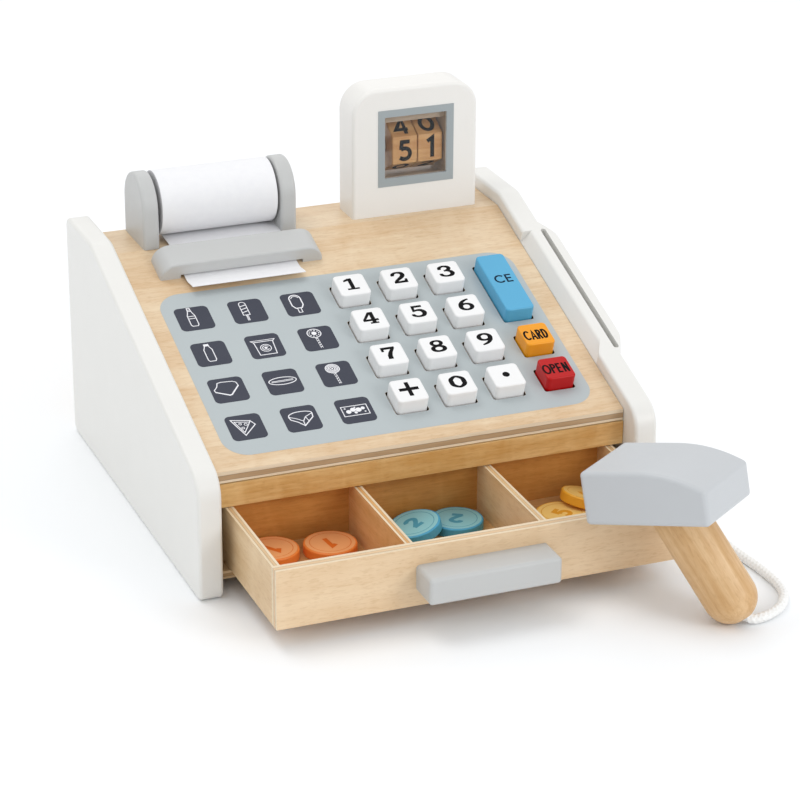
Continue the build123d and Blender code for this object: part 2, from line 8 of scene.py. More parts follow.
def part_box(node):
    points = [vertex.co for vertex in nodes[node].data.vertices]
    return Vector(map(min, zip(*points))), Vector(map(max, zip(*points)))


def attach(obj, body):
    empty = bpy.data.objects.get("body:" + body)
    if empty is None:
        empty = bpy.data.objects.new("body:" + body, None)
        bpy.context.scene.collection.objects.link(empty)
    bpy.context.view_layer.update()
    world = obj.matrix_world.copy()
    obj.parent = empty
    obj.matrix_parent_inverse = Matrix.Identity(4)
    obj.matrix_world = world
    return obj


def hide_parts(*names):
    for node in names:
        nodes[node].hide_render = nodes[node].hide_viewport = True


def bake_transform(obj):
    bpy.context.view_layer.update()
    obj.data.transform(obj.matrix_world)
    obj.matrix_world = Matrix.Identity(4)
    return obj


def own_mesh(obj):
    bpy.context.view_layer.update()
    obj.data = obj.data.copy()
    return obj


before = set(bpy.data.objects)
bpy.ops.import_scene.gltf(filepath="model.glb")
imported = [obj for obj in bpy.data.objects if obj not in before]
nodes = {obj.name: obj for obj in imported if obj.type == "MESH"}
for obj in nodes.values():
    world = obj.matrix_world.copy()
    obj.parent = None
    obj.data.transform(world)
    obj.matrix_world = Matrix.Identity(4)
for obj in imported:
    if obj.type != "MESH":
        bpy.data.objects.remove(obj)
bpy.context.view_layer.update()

# Sizes are in millimetres as in the part's source: x from the case's middle, y from the front edge of
# the side panels, z from the table. at() turns them into the frame's metres.
MM = 0.001
FOOTPRINT_CENTRE = Vector((3.0, 49.4, 0.0))
SLOPE = math.radians(18.87)
DECK_ORIGIN = (-106.0, 13.7, 59.0)
KEY_HEIGHT = 7.7


def at(x, y, z):
    return (Vector((x, y, z)) - FOOTPRINT_CENTRE) * MM


def surface(origin, across, up):
    """A matrix whose x, y plane lies on a surface, in millimetres."""
    across, up = Vector(across).normalized(), Vector(up).normalized()
    turn = Matrix((across, up, across.cross(up))).transposed().to_4x4()
    return Matrix.Translation(at(*origin)) @ turn @ Matrix.Scale(MM, 4)


DECK = surface(DECK_ORIGIN, (1, 0, 0), (0, math.cos(SLOPE), math.sin(SLOPE)))


def on_deck(u, v, h=0.0):
    return DECK @ Matrix.Translation((u, v, h))


# ---------------------------------------------------------------- camera, lights, table

EYE = (-469.93, -1134.05, 613.21)
YAW, PITCH, ROLL = 0.379392, 0.406154, 0.004972
camera_data = bpy.data.cameras.new("camera")
camera_data.sensor_width = 36.0
camera_data.lens = 127.81
camera_data.clip_end = 20.0
camera = bpy.data.objects.new("camera", camera_data)
camera.matrix_world = (
    Matrix.Translation(at(*EYE))
    @ Matrix.Rotation(-YAW, 4, "Z")
    @ Matrix.Rotation(math.pi / 2 - PITCH, 4, "X")
    @ Matrix.Rotation(ROLL, 4, "Z")
)
bpy.context.scene.collection.objects.link(camera)
bpy.context.scene.camera = camera


def area_light(name, place, target, size, power, colour=(1, 1, 1)):
    data = bpy.data.lights.new(name, "AREA")
    data.shape = "DISK"
    data.size = size
    data.energy = power
    data.color = colour
    light = bpy.data.objects.new(name, data)
    light.location = place
    light.rotation_euler = (Vector(target) - Vector(place)).to_track_quat("-Z", "Y").to_euler()
    bpy.context.scene.collection.objects.link(light)


area_light("key_light", (-0.45, 0.35, 1.7), (0, 0, 0.05), 0.9, 6.0, (1.0, 0.995, 0.985))
area_light("fill_light", (1.0, -1.5, 0.85), (0, 0, 0.05), 0.8, 7.5)
area_light("rim_light", (0.5, 1.5, 1.2), (0, 0, 0.1), 1.2, 2.0)

world = bpy.data.worlds.new("studio")
bpy.context.scene.world = world
world.use_nodes = True
world.node_tree.nodes["Background"].inputs["Color"].default_value = (0.985, 0.992, 1.0, 1)
world.node_tree.nodes["Background"].inputs["Strength"].default_value = 0.86
bpy.context.scene.view_settings.view_transform = "Standard"

# ---------------------------------------------------------------- materials


class Shade:
    """A material being wired up, one Principled shader with helpers for its inputs."""

    def __init__(self, name, roughness=0.5, metallic=0.0, specular=0.5, coat=0.0):
        self.material = bpy.data.materials.new(name)
        self.material.use_nodes = True
        self.tree = self.material.node_tree
        self.shader = self.tree.nodes["Principled BSDF"]
        self.shader.inputs["Roughness"].default_value = roughness
        self.shader.inputs["Metallic"].default_value = metallic
        self.shader.inputs["Specular IOR Level"].default_value = specular
        self.shader.inputs["Coat Weight"].default_value = coat
        self.shader.inputs["Coat Roughness"].default_value = 0.25
        self.place = self.node("ShaderNodeTexCoord").outputs["Object"]

    def node(self, kind, **settings):
        made = self.tree.nodes.new(kind)
        for key, value in settings.items():
            setattr(made, key, value)
        return made

    def feed(self, socket, value):
        if isinstance(value, bpy.types.NodeSocket):
            self.tree.links.new(value, socket)
        else:
            socket.default_value = value

    def scaled(self, scale, offset=(0, 0, 0)):
        mapping = self.node("ShaderNodeMapping")
        self.feed(mapping.inputs["Vector"], self.place)
        mapping.inputs["Scale"].default_value = scale
        mapping.inputs["Location"].default_value = offset
        return mapping.outputs["Vector"]

    def turn(self, way):
        """From here on, the material's z axis runs along a direction."""
        mapping = self.node("ShaderNodeMapping")
        self.feed(mapping.inputs["Vector"], self.place)
        upright = Vector(way).rotation_difference(Vector((0, 0, 1)))
        mapping.inputs["Rotation"].default_value = upright.to_euler()
        self.place = mapping.outputs["Vector"]

    def inside(self, low, high):
        """One within a box given by its corners, zero outside."""
        split = self.node("ShaderNodeSeparateXYZ")
        self.feed(split.inputs[0], self.place)
        found = 1.0
        for i in range(3):
            above = self.math("GREATER_THAN", split.outputs[i], low[i])
            found = self.math("MULTIPLY", self.math("MULTIPLY", found, above),
                              self.math("LESS_THAN", split.outputs[i], high[i]))
        return found

    def noise(self, scale, detail=3.0, rough=0.55, distortion=0.0, offset=(0, 0, 0)):
        noise = self.node("ShaderNodeTexNoise")
        if isinstance(scale, (int, float)):
            scale = (scale, scale, scale)
        self.feed(noise.inputs["Vector"], self.scaled(scale, offset))
        noise.inputs["Scale"].default_value = 1.0
        noise.inputs["Detail"].default_value = detail
        noise.inputs["Roughness"].default_value = rough
        noise.inputs["Distortion"].default_value = distortion
        return noise.outputs["Fac"]

    def math(self, operation, a, b=0.0, clamp=False):
        made = self.node("ShaderNodeMath", operation=operation, use_clamp=clamp)
        self.feed(made.inputs[0], a)
        self.feed(made.inputs[1], b)
        return made.outputs[0]

    def ramp(self, value, stops, smooth=True):
        ramp = self.node("ShaderNodeValToRGB")
        ramp.color_ramp.interpolation = "EASE" if smooth else "LINEAR"
        while len(ramp.color_ramp.elements) < len(stops):
            ramp.color_ramp.elements.new(0.5)
        for element, (position, colour) in zip(ramp.color_ramp.elements, stops):
            element.position = position
            element.color = (*colour, 1)
        self.feed(ramp.inputs["Fac"], value)
        return ramp.outputs["Color"]

    def mix(self, factor, a, b, blend="MIX"):
        mix = self.node("ShaderNodeMix", data_type="RGBA", blend_type=blend)
        self.feed(mix.inputs["Factor"], factor)
        for socket, value in ((mix.inputs[6], a), (mix.inputs[7], b)):
            self.feed(socket, value if isinstance(value, bpy.types.NodeSocket) else (*value, 1))
        return mix.outputs[2]

    def along(self, axis, kind="Object"):
        """Object position or normal measured along an axis."""
        dot = self.node("ShaderNodeVectorMath", operation="DOT_PRODUCT")
        source = self.place
        if kind == "Normal":
            source = self.node("ShaderNodeTexCoord").outputs["Normal"]
        self.feed(dot.inputs[0], source)
        dot.inputs[1].default_value = axis
        return dot.outputs["Value"]

    def bump(self, height, distance, strength=1.0):
        bump = self.node("ShaderNodeBump")
        bump.inputs["Strength"].default_value = strength
        bump.inputs["Distance"].default_value = distance
        self.feed(bump.inputs["Height"], height)
        self.feed(self.shader.inputs["Normal"], bump.outputs["Normal"])

    def colour(self, value):
        socket = self.shader.inputs["Base Color"]
        self.feed(socket, value if isinstance(value, bpy.types.NodeSocket) else (*value, 1))

    def rough(self, value, low, high):
        spread = self.node("ShaderNodeMapRange")
        self.feed(spread.inputs["Value"], value)
        spread.inputs["To Min"].default_value = low
        spread.inputs["To Max"].default_value = high
        self.feed(self.shader.inputs["Roughness"], spread.outputs["Result"])


def tone(hex_code):
    """A display colour as linear values."""
    parts = [int(hex_code[i : i + 2], 16) / 255 for i in (0, 2, 4)]
    return tuple(c / 12.92 if c <= 0.04045 else ((c + 0.055) / 1.055) ** 2.4 for c in parts)


def darker(colour, factor):
    return tuple(c * factor for c in colour)


def paint(name, hex_code, low=0.32, high=0.46, depth=0.00004, variation=0.05, grain=0.0, gloss=0.45,
          well_shade_box=None):
    """Brushed or sprayed paint over wood: slight mottling, a soft orange peel, some grain telegraphing.

    The box given here, its low and high corners, marks where the paint is darkened to a mottled brownish grey
    as painted shade for a shadowed hollow.
    """
    shade = Shade(name, specular=gloss)
    base = tone(hex_code)
    cloud = shade.noise(38.0, 3.0)
    skin = shade.mix(cloud, darker(base, 1.0 - variation), darker(base, 1.0 + variation / 2))
    if well_shade_box:
        # painted shade: inside the box the paint is swapped for a darker, streaked brownish grey
        well_shade_tone = shade.mix(shade.noise((60.0, 60.0, 500.0), 3.0), tone("9A8168"), tone("C4B29C"))
        skin = shade.mix(shade.inside(*well_shade_box), skin, well_shade_tone)
    shade.colour(skin)
    peel = shade.noise(900.0, 2.0)
    fibres = shade.noise((40.0, 700.0, 700.0), 3.0)
    height = shade.math("ADD", shade.math("MULTIPLY", peel, 0.35), shade.math("MULTIPLY", fibres, grain))
    shade.bump(height, depth)
    shade.rough(shade.noise(120.0, 2.0), low, high)
    return shade.material


def wood(name, light, dark, grain="x", sheet=None, start=0.0, thick=0.006, shift=0.0, contrast=1.0,
         edge_tint=None, way=None, core=0.92, gap_shade_box=None):
    """Lacquered birch veneer with its grain along x, y or z, and glued layers on a sheet's edges.

    way turns the material first, so that z runs along a leaning piece. core is the middle layer's shade,
    and the last box, its low and high corners, marks where a sheet's cut edges are darkened to near-black as
    painted shade.
    """
    shade = Shade(name, specular=0.4, coat=0.12)
    if way:
        shade.turn(way)
    light, dark = tone(light), tone(dark)
    run = {"x": 0, "y": 1, "z": 2}[grain]
    offset = (shift, shift * 1.7, shift * 0.6)

    def stretched(along, across):
        return tuple(along if i == run else across for i in range(3))

    broad = shade.noise(stretched(9.0, 48.0), 4.0, 0.6, 0.7, offset)
    streak = shade.noise(stretched(26.0, 380.0), 5.0, 0.66, 0.3, offset)
    pore = shade.noise(stretched(170.0, 2400.0), 2.0, 0.6, 0.0, offset)
    fleck = shade.noise(stretched(210.0, 900.0), 2.0, 0.5, 0.4, offset)
    flame = shade.noise(stretched(60.0, 26.0), 2.0, 0.5, 1.2, offset)
    mixed = shade.math("ADD", shade.math("MULTIPLY", broad, 0.6), shade.math("MULTIPLY", streak, 0.4))
    mixed = shade.math("ADD", mixed, shade.math("MULTIPLY", shade.math("SUBTRACT", flame, 0.5), 0.22))
    low, high = 0.5 - 0.19 / contrast, 0.5 + 0.21 / contrast
    veneer = shade.ramp(mixed, [(low, dark), (high, light)])
    lines = shade.ramp(pore, [(0.30, (0.84, 0.79, 0.72)), (0.46, (1, 1, 1))])
    specks = shade.ramp(fleck, [(0.33, (0.87, 0.82, 0.75)), (0.47, (1, 1, 1)), (0.70, (1.0, 1.0, 1.0))])
    veneer = shade.mix(0.45, veneer, lines, "MULTIPLY")
    veneer = shade.mix(0.5, veneer, specks, "MULTIPLY")
    if sheet is not None:
        level = shade.math("DIVIDE", shade.math("SUBTRACT", shade.along(sheet), start), thick)
        wobble = shade.math("MULTIPLY", shade.math("SUBTRACT", shade.noise(90.0, 2.0), 0.5), 0.06)
        level = shade.math("ADD", level, wobble)
        edge_light = tone(edge_tint) if edge_tint else darker(light, 1.04)
        core, glue = darker(dark, core), darker(dark, 0.4)
        layers = shade.ramp(level, [
            (0.255, edge_light), (0.285, glue), (0.325, core), (0.635, core), (0.665, glue),
            (0.705, edge_light),
        ], smooth=False)
        layers = shade.mix(0.5, layers, shade.ramp(streak, [(0.35, (0.80, 0.76, 0.70)), (0.6, (1, 1, 1))]),
                           "MULTIPLY")
        facing = shade.math("ABSOLUTE", shade.along(sheet, "Normal"))
        on_edge = shade.math("LESS_THAN", facing, 0.6)
        if gap_shade_box:
            # painted shade: cut edges inside the box turn near-black, the shadow in the gaps around the keys
            layers = shade.mix(shade.inside(*gap_shade_box), layers, tone("241A12"))
        veneer = shade.mix(on_edge, veneer, layers)
    shade.colour(veneer)
    relief = shade.math("ADD", shade.math("MULTIPLY", pore, 0.7), shade.math("MULTIPLY", streak, 0.5))
    shade.bump(relief, 0.00005)
    shade.rough(streak, 0.38, 0.52)
    return shade.material


def give(material, *names):
    """Put one material on whole pieces."""
    for name in names:
        made = nodes[name] if isinstance(name, str) else name
        made.data.materials.clear()
        made.data.materials.append(material)


white_paint = paint("white_paint", "E6E5E1", 0.30, 0.42, grain=0.25, variation=0.02)
grey_paint = paint("grey_paint", "C0C1C0", 0.34, 0.46, grain=0.2, variation=0.03)
scanner_paint = paint("scanner_paint", "C1C4C7", 0.30, 0.40, grain=0.12, variation=0.03)
key_white = paint("key_white", "EEEEEE", 0.26, 0.36, grain=0.15, variation=0.015)
key_blue = paint("key_blue", "53A8D0", 0.28, 0.38, grain=0.15, variation=0.05)
key_amber = paint("key_amber", "EE9B05", 0.28, 0.38, grain=0.15, variation=0.05)
key_red = paint("key_red", "B80609", 0.26, 0.36, grain=0.15, variation=0.06, gloss=0.3)
print_grey = paint("print_grey", "B3BBBD", 0.42, 0.52, depth=0.00002, variation=0.02, gloss=0.35)
icon_slate = paint("icon_slate", "3A3D4A", 0.44, 0.56, depth=0.00002, variation=0.06, gloss=0.3)
ink_black = paint("ink_black", "08080A", 0.5, 0.6, depth=0.00001, variation=0.10, gloss=0.1)
ink_navy = paint("ink_navy", "0C2036", 0.5, 0.6, depth=0.00001, variation=0.10, gloss=0.1)
ink_white = paint("ink_white", "EFEFF3", 0.5, 0.6, depth=0.00001, variation=0.02, gloss=0.2)
bezel_grey = paint("bezel_grey", "9DA5A8", 0.30, 0.42, depth=0.00002, variation=0.04)
inner_wood = wood("inner_wood", "D6B68C", "B98F5E", "x", contrast=0.8)

deck_up = (0.0, -math.sin(SLOPE), math.cos(SLOPE))
deck_level = Vector(deck_up).dot(at(*DECK_ORIGIN))
birch = ("E6D1B2", "D4B48D")
# the key holes' walls inside this box get painted shade, near-black
key_gap_shade_area = (at(-10.0, 25.0, 40.0), at(96.5, 150.0, 130.0))
give(wood("deck_birch", *birch, "x", deck_up, deck_level - 0.006, 0.006, edge_tint="E9D9BF", core=0.74,
          gap_shade_box=key_gap_shade_area), "deck_panel")
give(wood("top_birch", *birch, "x", (0, 0, 1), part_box("top_panel")[0].z, 0.006, 0.3), "top_panel")
give(wood("back_birch", *birch, "x", (0, 1, 0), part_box("back_panel")[0].y, 0.006, 0.7), "back_panel")
give(wood("base_birch", "D6B98F", "BD9768", "x", (0, 0, 1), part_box("base_panel")[0].z, 0.004, 1.1),
     "base_panel")
give(wood("rail_birch", "E8C48A", "CA9A58", "x", (0, 1, 0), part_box("front_rail")[0].y, 0.006, 2.1, 1.3),
     "front_rail")
drawer_woods = {
    "drawer_front": ("EAD0AD", "DDBD95"), "drawer_side_left": ("E6CCA6", "D5B488"),
    "drawer_side_right": ("E6CCA6", "D5B488"), "drawer_back": ("D59C56", "B07632"),
    "drawer_divider_left": ("EBBF89", "D6A468"), "drawer_divider_right": ("EED2A8", "DDB987"),
}
for number, (name, (light, dark)) in enumerate(drawer_woods.items()):
    low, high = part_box(name)
    axis = 1 if name in ("drawer_front", "drawer_back") else 0
    sheet = tuple(1.0 if i == axis else 0.0 for i in range(3))
    give(
        wood(name + "_birch", light, dark, "x" if axis == 1 else "y", sheet, low[axis],
             high[axis] - low[axis], 3.0 + number, 0.8 if axis else 1.0, "E8D6B8", core=1.04),
        name,
    )
give(wood("floor_birch", "DDB27A", "BE8A52", "x", shift=9.0), "drawer_floor")
give(white_paint, "side_panel_left", "side_panel_right")
# window_well marks the hollow behind the display window, where the housing paint gets painted shade
window_well = (at(43.0, 177.6, 128.0), at(78.3, 197.0, 167.1))
# painted light: the housing's white is a lighter copy of white_paint, standing in for more light on its front
give(paint("housing_paint_light_and_shade", "EAE8E4", 0.30, 0.42, grain=0.25, variation=0.02, well_shade_box=window_well),
     "display_housing")
give(grey_paint, "roll_post_left", "roll_post_right", "paper_guide_bar", "drawer_handle")
give(scanner_paint, "scanner_head")
give(wood("handle_birch", "E4C296", "C89C66", "z", shift=5.0, contrast=1.1, way=(0.362, -0.527, -0.769)),
     "scanner_handle")
give(inner_wood, "drawer_guides", "case_dowels", "key_board", "key_board_battens", "roll_dowel", "drum_axle",
     "drum_spacer")
give(bezel_grey, "display_bezel")
under_deck = ("key_board", "key_board_battens", "key_springs")
key_caps = [name for name in nodes if name.startswith("key_") and name not in under_deck]
for name in key_caps:
    give({"key_ce": key_blue, "key_card": key_amber, "key_open": key_red}.get(name, key_white), name)
give(wood("drum_birch", "E2B67C", "C08A50", "x", shift=12.0, contrast=1.3),
     "number_drum_left", "number_drum_right")

steel = Shade("steel", 0.3, 1.0)
steel.colour((0.62, 0.62, 0.63))
steel.rough(steel.noise((300.0, 300.0, 60.0), 2.0), 0.24, 0.38)
give(steel.material, "wood_screws", "drawer_handle_screws")


def key_springs():
    """Each key's springs as a piece of their own, so that they give way under that key alone."""
    whole = nodes["key_springs"].data
    flat = DECK.inverted()
    middles = {name: (flat @ (sum(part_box(name), Vector()) / 2)).xy for name in key_caps}
    faces_of = {name: [] for name in key_caps}
    for face in whole.polygons:
        spot = (flat @ face.center).xy
        faces_of[min(middles, key=lambda name: (middles[name] - spot).length)].append(face)
    for name, faces in faces_of.items():
        corners = sorted({index for face in faces for index in face.vertices})
        number = {index: place for place, index in enumerate(corners)}
        mesh = bpy.data.meshes.new(name + "_spring")
        mesh.from_pydata([whole.vertices[index].co for index in corners], [],
                         [[number[index] for index in face.vertices] for face in faces])
        mesh.shade_smooth()
        mesh.materials.append(steel.material)
        spring = bpy.data.objects.new(name + "_spring", mesh)
        bpy.context.scene.collection.objects.link(spring)
        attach(spring, "case")
        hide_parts("key_springs")
        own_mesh(spring)


key_springs()

pane = Shade("window_pane", 0.04, 0.0, 0.5)
pane.colour((0.30, 0.32, 0.34))
pane.shader.inputs["Alpha"].default_value = 0.06
give(pane.material, "display_window")


def paper(name, end_rings):
    """Receipt paper: nearly white, faint fibres, and the wound layers on a roll's ends."""
    shade = Shade(name, 0.82, 0.0, 0.25)
    base = shade.mix(shade.noise(260.0, 3.0), tone("E9E9EC"), tone("F0F0F1"))
    if end_rings:
        offset = shade.node("ShaderNodeVectorMath", operation="SUBTRACT")
        shade.feed(offset.inputs[0], shade.place)
        offset.inputs[1].default_value = at(0, 188.0, 132.0)
        flat = shade.node("ShaderNodeVectorMath", operation="MULTIPLY")
        shade.feed(flat.inputs[0], offset.outputs["Vector"])
        flat.inputs[1].default_value = (0, 1, 1)
        length = shade.node("ShaderNodeVectorMath", operation="LENGTH")
        shade.feed(length.inputs[0], flat.outputs["Vector"])
        turns = shade.math("SINE", shade.math("MULTIPLY", length.outputs["Value"], 9000.0))
        facing = shade.math("GREATER_THAN", shade.math("ABSOLUTE", shade.along((1, 0, 0), "Normal")), 0.7)
        lines = shade.math("MULTIPLY", shade.math("MULTIPLY_ADD", turns, 0.12), facing)
        base = shade.mix(lines, base, tone("B9B9BC"))
    shade.colour(base)
    shade.bump(shade.noise(700.0, 3.0), 0.00003)
    return shade.material


give(paper("roll_paper", True), "paper_roll")
give(paper("strip_paper", False), "paper_strip")


def coin_paint(name, hex_code):
    return paint(name, hex_code, 0.34, 0.46, grain=0.2, variation=0.05)


coin_colours = {
    "orange": (coin_paint("coin_orange_paint", "F58A3C"), coin_paint("coin_orange_face", "FBB276"),
               coin_paint("coin_orange_ink", "E8701F")),
    "blue": (coin_paint("coin_blue_paint", "4BA9CF"), coin_paint("coin_blue_face", "93D0D8"),
             coin_paint("coin_blue_ink", "4A9DB5")),
    "yellow": (coin_paint("coin_yellow_paint", "EFAE33"), coin_paint("coin_yellow_face", "F3CC78"),
               coin_paint("coin_yellow_ink", "DE9B28")),
}

# ---------------------------------------------------------------- flat printed art


def spline(points, closed=False, steps=7):
    """Catmull-Rom through points that may carry a width."""
    count = len(points)
    out = []
    for i in range(count if closed else count - 1):
        if closed:
            p = [points[(i + k) % count] for k in (-1, 0, 1, 2)]
        else:
            p = [points[min(max(i + k, 0), count - 1)] for k in (-1, 0, 1, 2)]
        for s in range(steps):
            t = s / steps
            out.append(tuple(
                0.5 * (2 * b + (c - a) * t + (2 * a - 5 * b + 4 * c - d) * t * t
                       + (3 * b - a - 3 * c + d) * t ** 3)
                for a, b, c, d in zip(*p)
            ))
    if not closed:
        out.append(tuple(points[-1]))
    return out


def ellipse(cx, cy, rx, ry, start=0.0, end=360.0, steps=40):
    full = abs(end - start) >= 360
    count = steps if full else steps + 1
    return [
        (cx + rx * math.cos(math.radians(start + (end - start) * i / steps)),
         cy + ry * math.sin(math.radians(start + (end - start) * i / steps)))
        for i in range(count)
    ]


class Art:
    """Flat shapes gathered into one mesh, each a hair above the one before."""

    STEP = 0.004

    def __init__(self, squeeze=1.0, bold=1.0):
        self.verts, self.faces, self.level = [], [], 0.0
        self.squeeze, self.bold = squeeze, bold

    def add(self, points, faces):
        base = len(self.verts)
        self.verts += [(x, y, self.level) for x, y in points]
        self.faces += [tuple(base + i for i in face) for face in faces]
        self.level += self.STEP

    def area(self, outline, *holes):
        loops = [[Vector((x, y, 0)) for x, y in loop] for loop in (outline, *holes)]
        flat = [(v.x, v.y) for loop in loops for v in loop]
        faces = []
        for a, b, c in tessellate_polygon(loops):
            (ax, ay), (bx, by), (cx, cy) = flat[a], flat[b], flat[c]
            turn = (bx - ax) * (cy - ay) - (by - ay) * (cx - ax)
            faces.append((a, b, c) if turn > 0 else (a, c, b))
        self.add(flat, faces)
        return self

    def line(self, points, width=None, closed=False, curved=False):
        """A stroke through points; with curved it is smoothed, and a third number is its width."""
        path = [(p[0] * self.squeeze, p[1], (p[2] if len(p) == 3 else width) * self.bold) for p in points]
        if curved:
            path = spline(path, closed)
        count = len(path)
        sides, faces = [], []
        for i, (x, y, w) in enumerate(path):
            before = path[i - 1] if i or closed else path[i]
            after = path[(i + 1) % count] if i < count - 1 or closed else path[i]
            first = Vector((x - before[0], y - before[1]))
            second = Vector((after[0] - x, after[1] - y))
            if first.length < 1e-9:
                first = second
            if second.length < 1e-9:
                second = first
            a, b = first.normalized(), second.normalized()
            way = (a + b).normalized() if (a + b).length > 1e-6 else a
            reach = w / 2 / max(way.dot(a), 0.45)
            sides += [(x - way.y * reach, y + way.x * reach), (x + way.y * reach, y - way.x * reach)]
        for i in range(count if closed else count - 1):
            a, b = 2 * i, 2 * ((i + 1) % count)
            faces.append((a, a + 1, b + 1, b))
        self.add(sides, faces)
        return self

    def dot(self, x, y, radius):
        return self.area(ellipse(x, y, radius, radius, steps=28))

    def place(self, name, matrix, material, body, scale=1.0, lift=0.03):
        mesh = bpy.data.meshes.new(name)
        spots = [matrix @ Vector((x * scale, y * scale, lift + z)) for x, y, z in self.verts]
        mesh.from_pydata(spots, [], self.faces)
        mesh.update()
        made = bpy.data.objects.new(name, mesh)
        bpy.context.scene.collection.objects.link(made)
        mesh.materials.append(material)
        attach(made, body)
        return made


def rounded_box(cx, cy, wide, tall, radius, steps=7):
    out = []
    for sx, sy, start in ((1, 1, 0), (-1, 1, 90), (-1, -1, 180), (1, -1, 270)):
        mx, my = cx + sx * (wide / 2 - radius), cy + sy * (tall / 2 - radius)
        out += ellipse(mx, my, radius, radius, start, start + 90, steps)
    return out


# Slab-serif numerals for the keys, one unit high.


def slab_numeral(sign):
    art = Art(bold=1.14)
    if sign == "1":
        art.area([(0.06, 0.86), (0.34, 1.0), (0.57, 1.0), (0.57, 0.13), (0.82, 0.13), (0.82, 0), (0.10, 0),
                  (0.10, 0.13), (0.33, 0.13), (0.33, 0.80), (0.06, 0.73)])
    elif sign == "4":
        art.area([(0.44, 1.0), (0.74, 1.0), (0.74, 0.40), (0.92, 0.40), (0.92, 0.23), (0.74, 0.23),
                  (0.74, 0.12), (0.86, 0.12), (0.86, 0), (0.36, 0), (0.36, 0.12), (0.50, 0.12),
                  (0.50, 0.23), (0.0, 0.23), (0.0, 0.38)], [(0.50, 0.40), (0.50, 0.79), (0.20, 0.40)])
    elif sign == "7":
        art.area([(0.08, 1.0), (0.90, 1.0), (0.90, 0.86), (0.70, 0.55), (0.60, 0.28), (0.58, 0.0),
                  (0.29, 0.0), (0.32, 0.28), (0.44, 0.55), (0.64, 0.81), (0.24, 0.81), (0.22, 0.64),
                  (0.08, 0.64)])
    elif sign == "plus":
        art.line([(-0.09, 0.5), (1.05, 0.5)], 0.21).line([(0.48, -0.07), (0.48, 1.07)], 0.21)
    elif sign == "dot":
        art.dot(0.48, 0.5, 0.21)
    elif sign == "0":
        ring = [(0.48, 0.93, 0.14), (0.80, 0.74, 0.22), (0.84, 0.5, 0.25), (0.80, 0.26, 0.22),
                (0.48, 0.07, 0.14), (0.16, 0.26, 0.22), (0.12, 0.5, 0.25), (0.16, 0.74, 0.22)]
        art.line(ring, closed=True, curved=True)
    elif sign == "2":
        art.line([(0.14, 0.66, 0.18), (0.15, 0.78, 0.20), (0.28, 0.90, 0.15), (0.46, 0.93, 0.13),
                  (0.68, 0.86, 0.20), (0.74, 0.70, 0.24), (0.64, 0.53, 0.22), (0.42, 0.36, 0.18),
                  (0.22, 0.20, 0.15), (0.14, 0.08, 0.14)], curved=True)
        art.area([(0.06, 0), (0.88, 0), (0.90, 0.34), (0.76, 0.34), (0.72, 0.19), (0.06, 0.15)])
    elif sign == "3":
        art.line([(0.13, 0.66, 0.17), (0.15, 0.80, 0.19), (0.30, 0.91, 0.14), (0.46, 0.93, 0.13),
                  (0.66, 0.86, 0.19), (0.72, 0.74, 0.23), (0.64, 0.61, 0.17), (0.46, 0.54, 0.12),
                  (0.36, 0.53, 0.11)], curved=True)
        art.line([(0.38, 0.53, 0.11), (0.56, 0.52, 0.13), (0.74, 0.43, 0.20), (0.80, 0.28, 0.25),
                  (0.70, 0.12, 0.19), (0.46, 0.06, 0.13), (0.26, 0.09, 0.14), (0.12, 0.20, 0.20),
                  (0.11, 0.32, 0.16)], curved=True)
    elif sign == "5":
        art.area([(0.17, 1.0), (0.80, 1.0), (0.80, 0.83), (0.33, 0.83), (0.31, 0.62), (0.27, 0.48),
                  (0.14, 0.48)])
        art.line([(0.20, 0.53, 0.10), (0.44, 0.60, 0.14), (0.68, 0.54, 0.20), (0.80, 0.34, 0.25),
                  (0.70, 0.13, 0.19), (0.46, 0.06, 0.13), (0.26, 0.09, 0.14), (0.12, 0.20, 0.19),
                  (0.11, 0.30, 0.16)], curved=True)
    elif sign in ("6", "9"):
        flip = (lambda x, y: (x, y)) if sign == "6" else (lambda x, y: (0.96 - x, 1 - y))
        bowl = [(0.48, 0.57, 0.13), (0.72, 0.50, 0.18), (0.81, 0.32, 0.24), (0.72, 0.14, 0.18),
                (0.48, 0.06, 0.13), (0.24, 0.14, 0.18), (0.15, 0.33, 0.24), (0.24, 0.50, 0.18)]
        back = [(0.15, 0.34, 0.24), (0.20, 0.56, 0.22), (0.36, 0.76, 0.17), (0.56, 0.88, 0.13),
                (0.78, 0.95, 0.09)]
        art.line([(*flip(x, y), w) for x, y, w in bowl], closed=True, curved=True)
        art.line([(*flip(x, y), w) for x, y, w in back], curved=True)
    elif sign == "8":
        for cy, rx, ry, side, top in ((0.275, 0.34, 0.215, 0.23, 0.13), (0.74, 0.28, 0.19, 0.20, 0.12)):
            ring = []
            for i in range(12):
                turn = math.radians(30 * i)
                width = top + (side - top) * math.cos(turn) ** 2
                ring.append((0.48 + rx * math.cos(turn), cy + ry * math.sin(turn), width))
            art.line(ring, closed=True, curved=True)
    return art


# Plain line letters and numerals, one unit high.


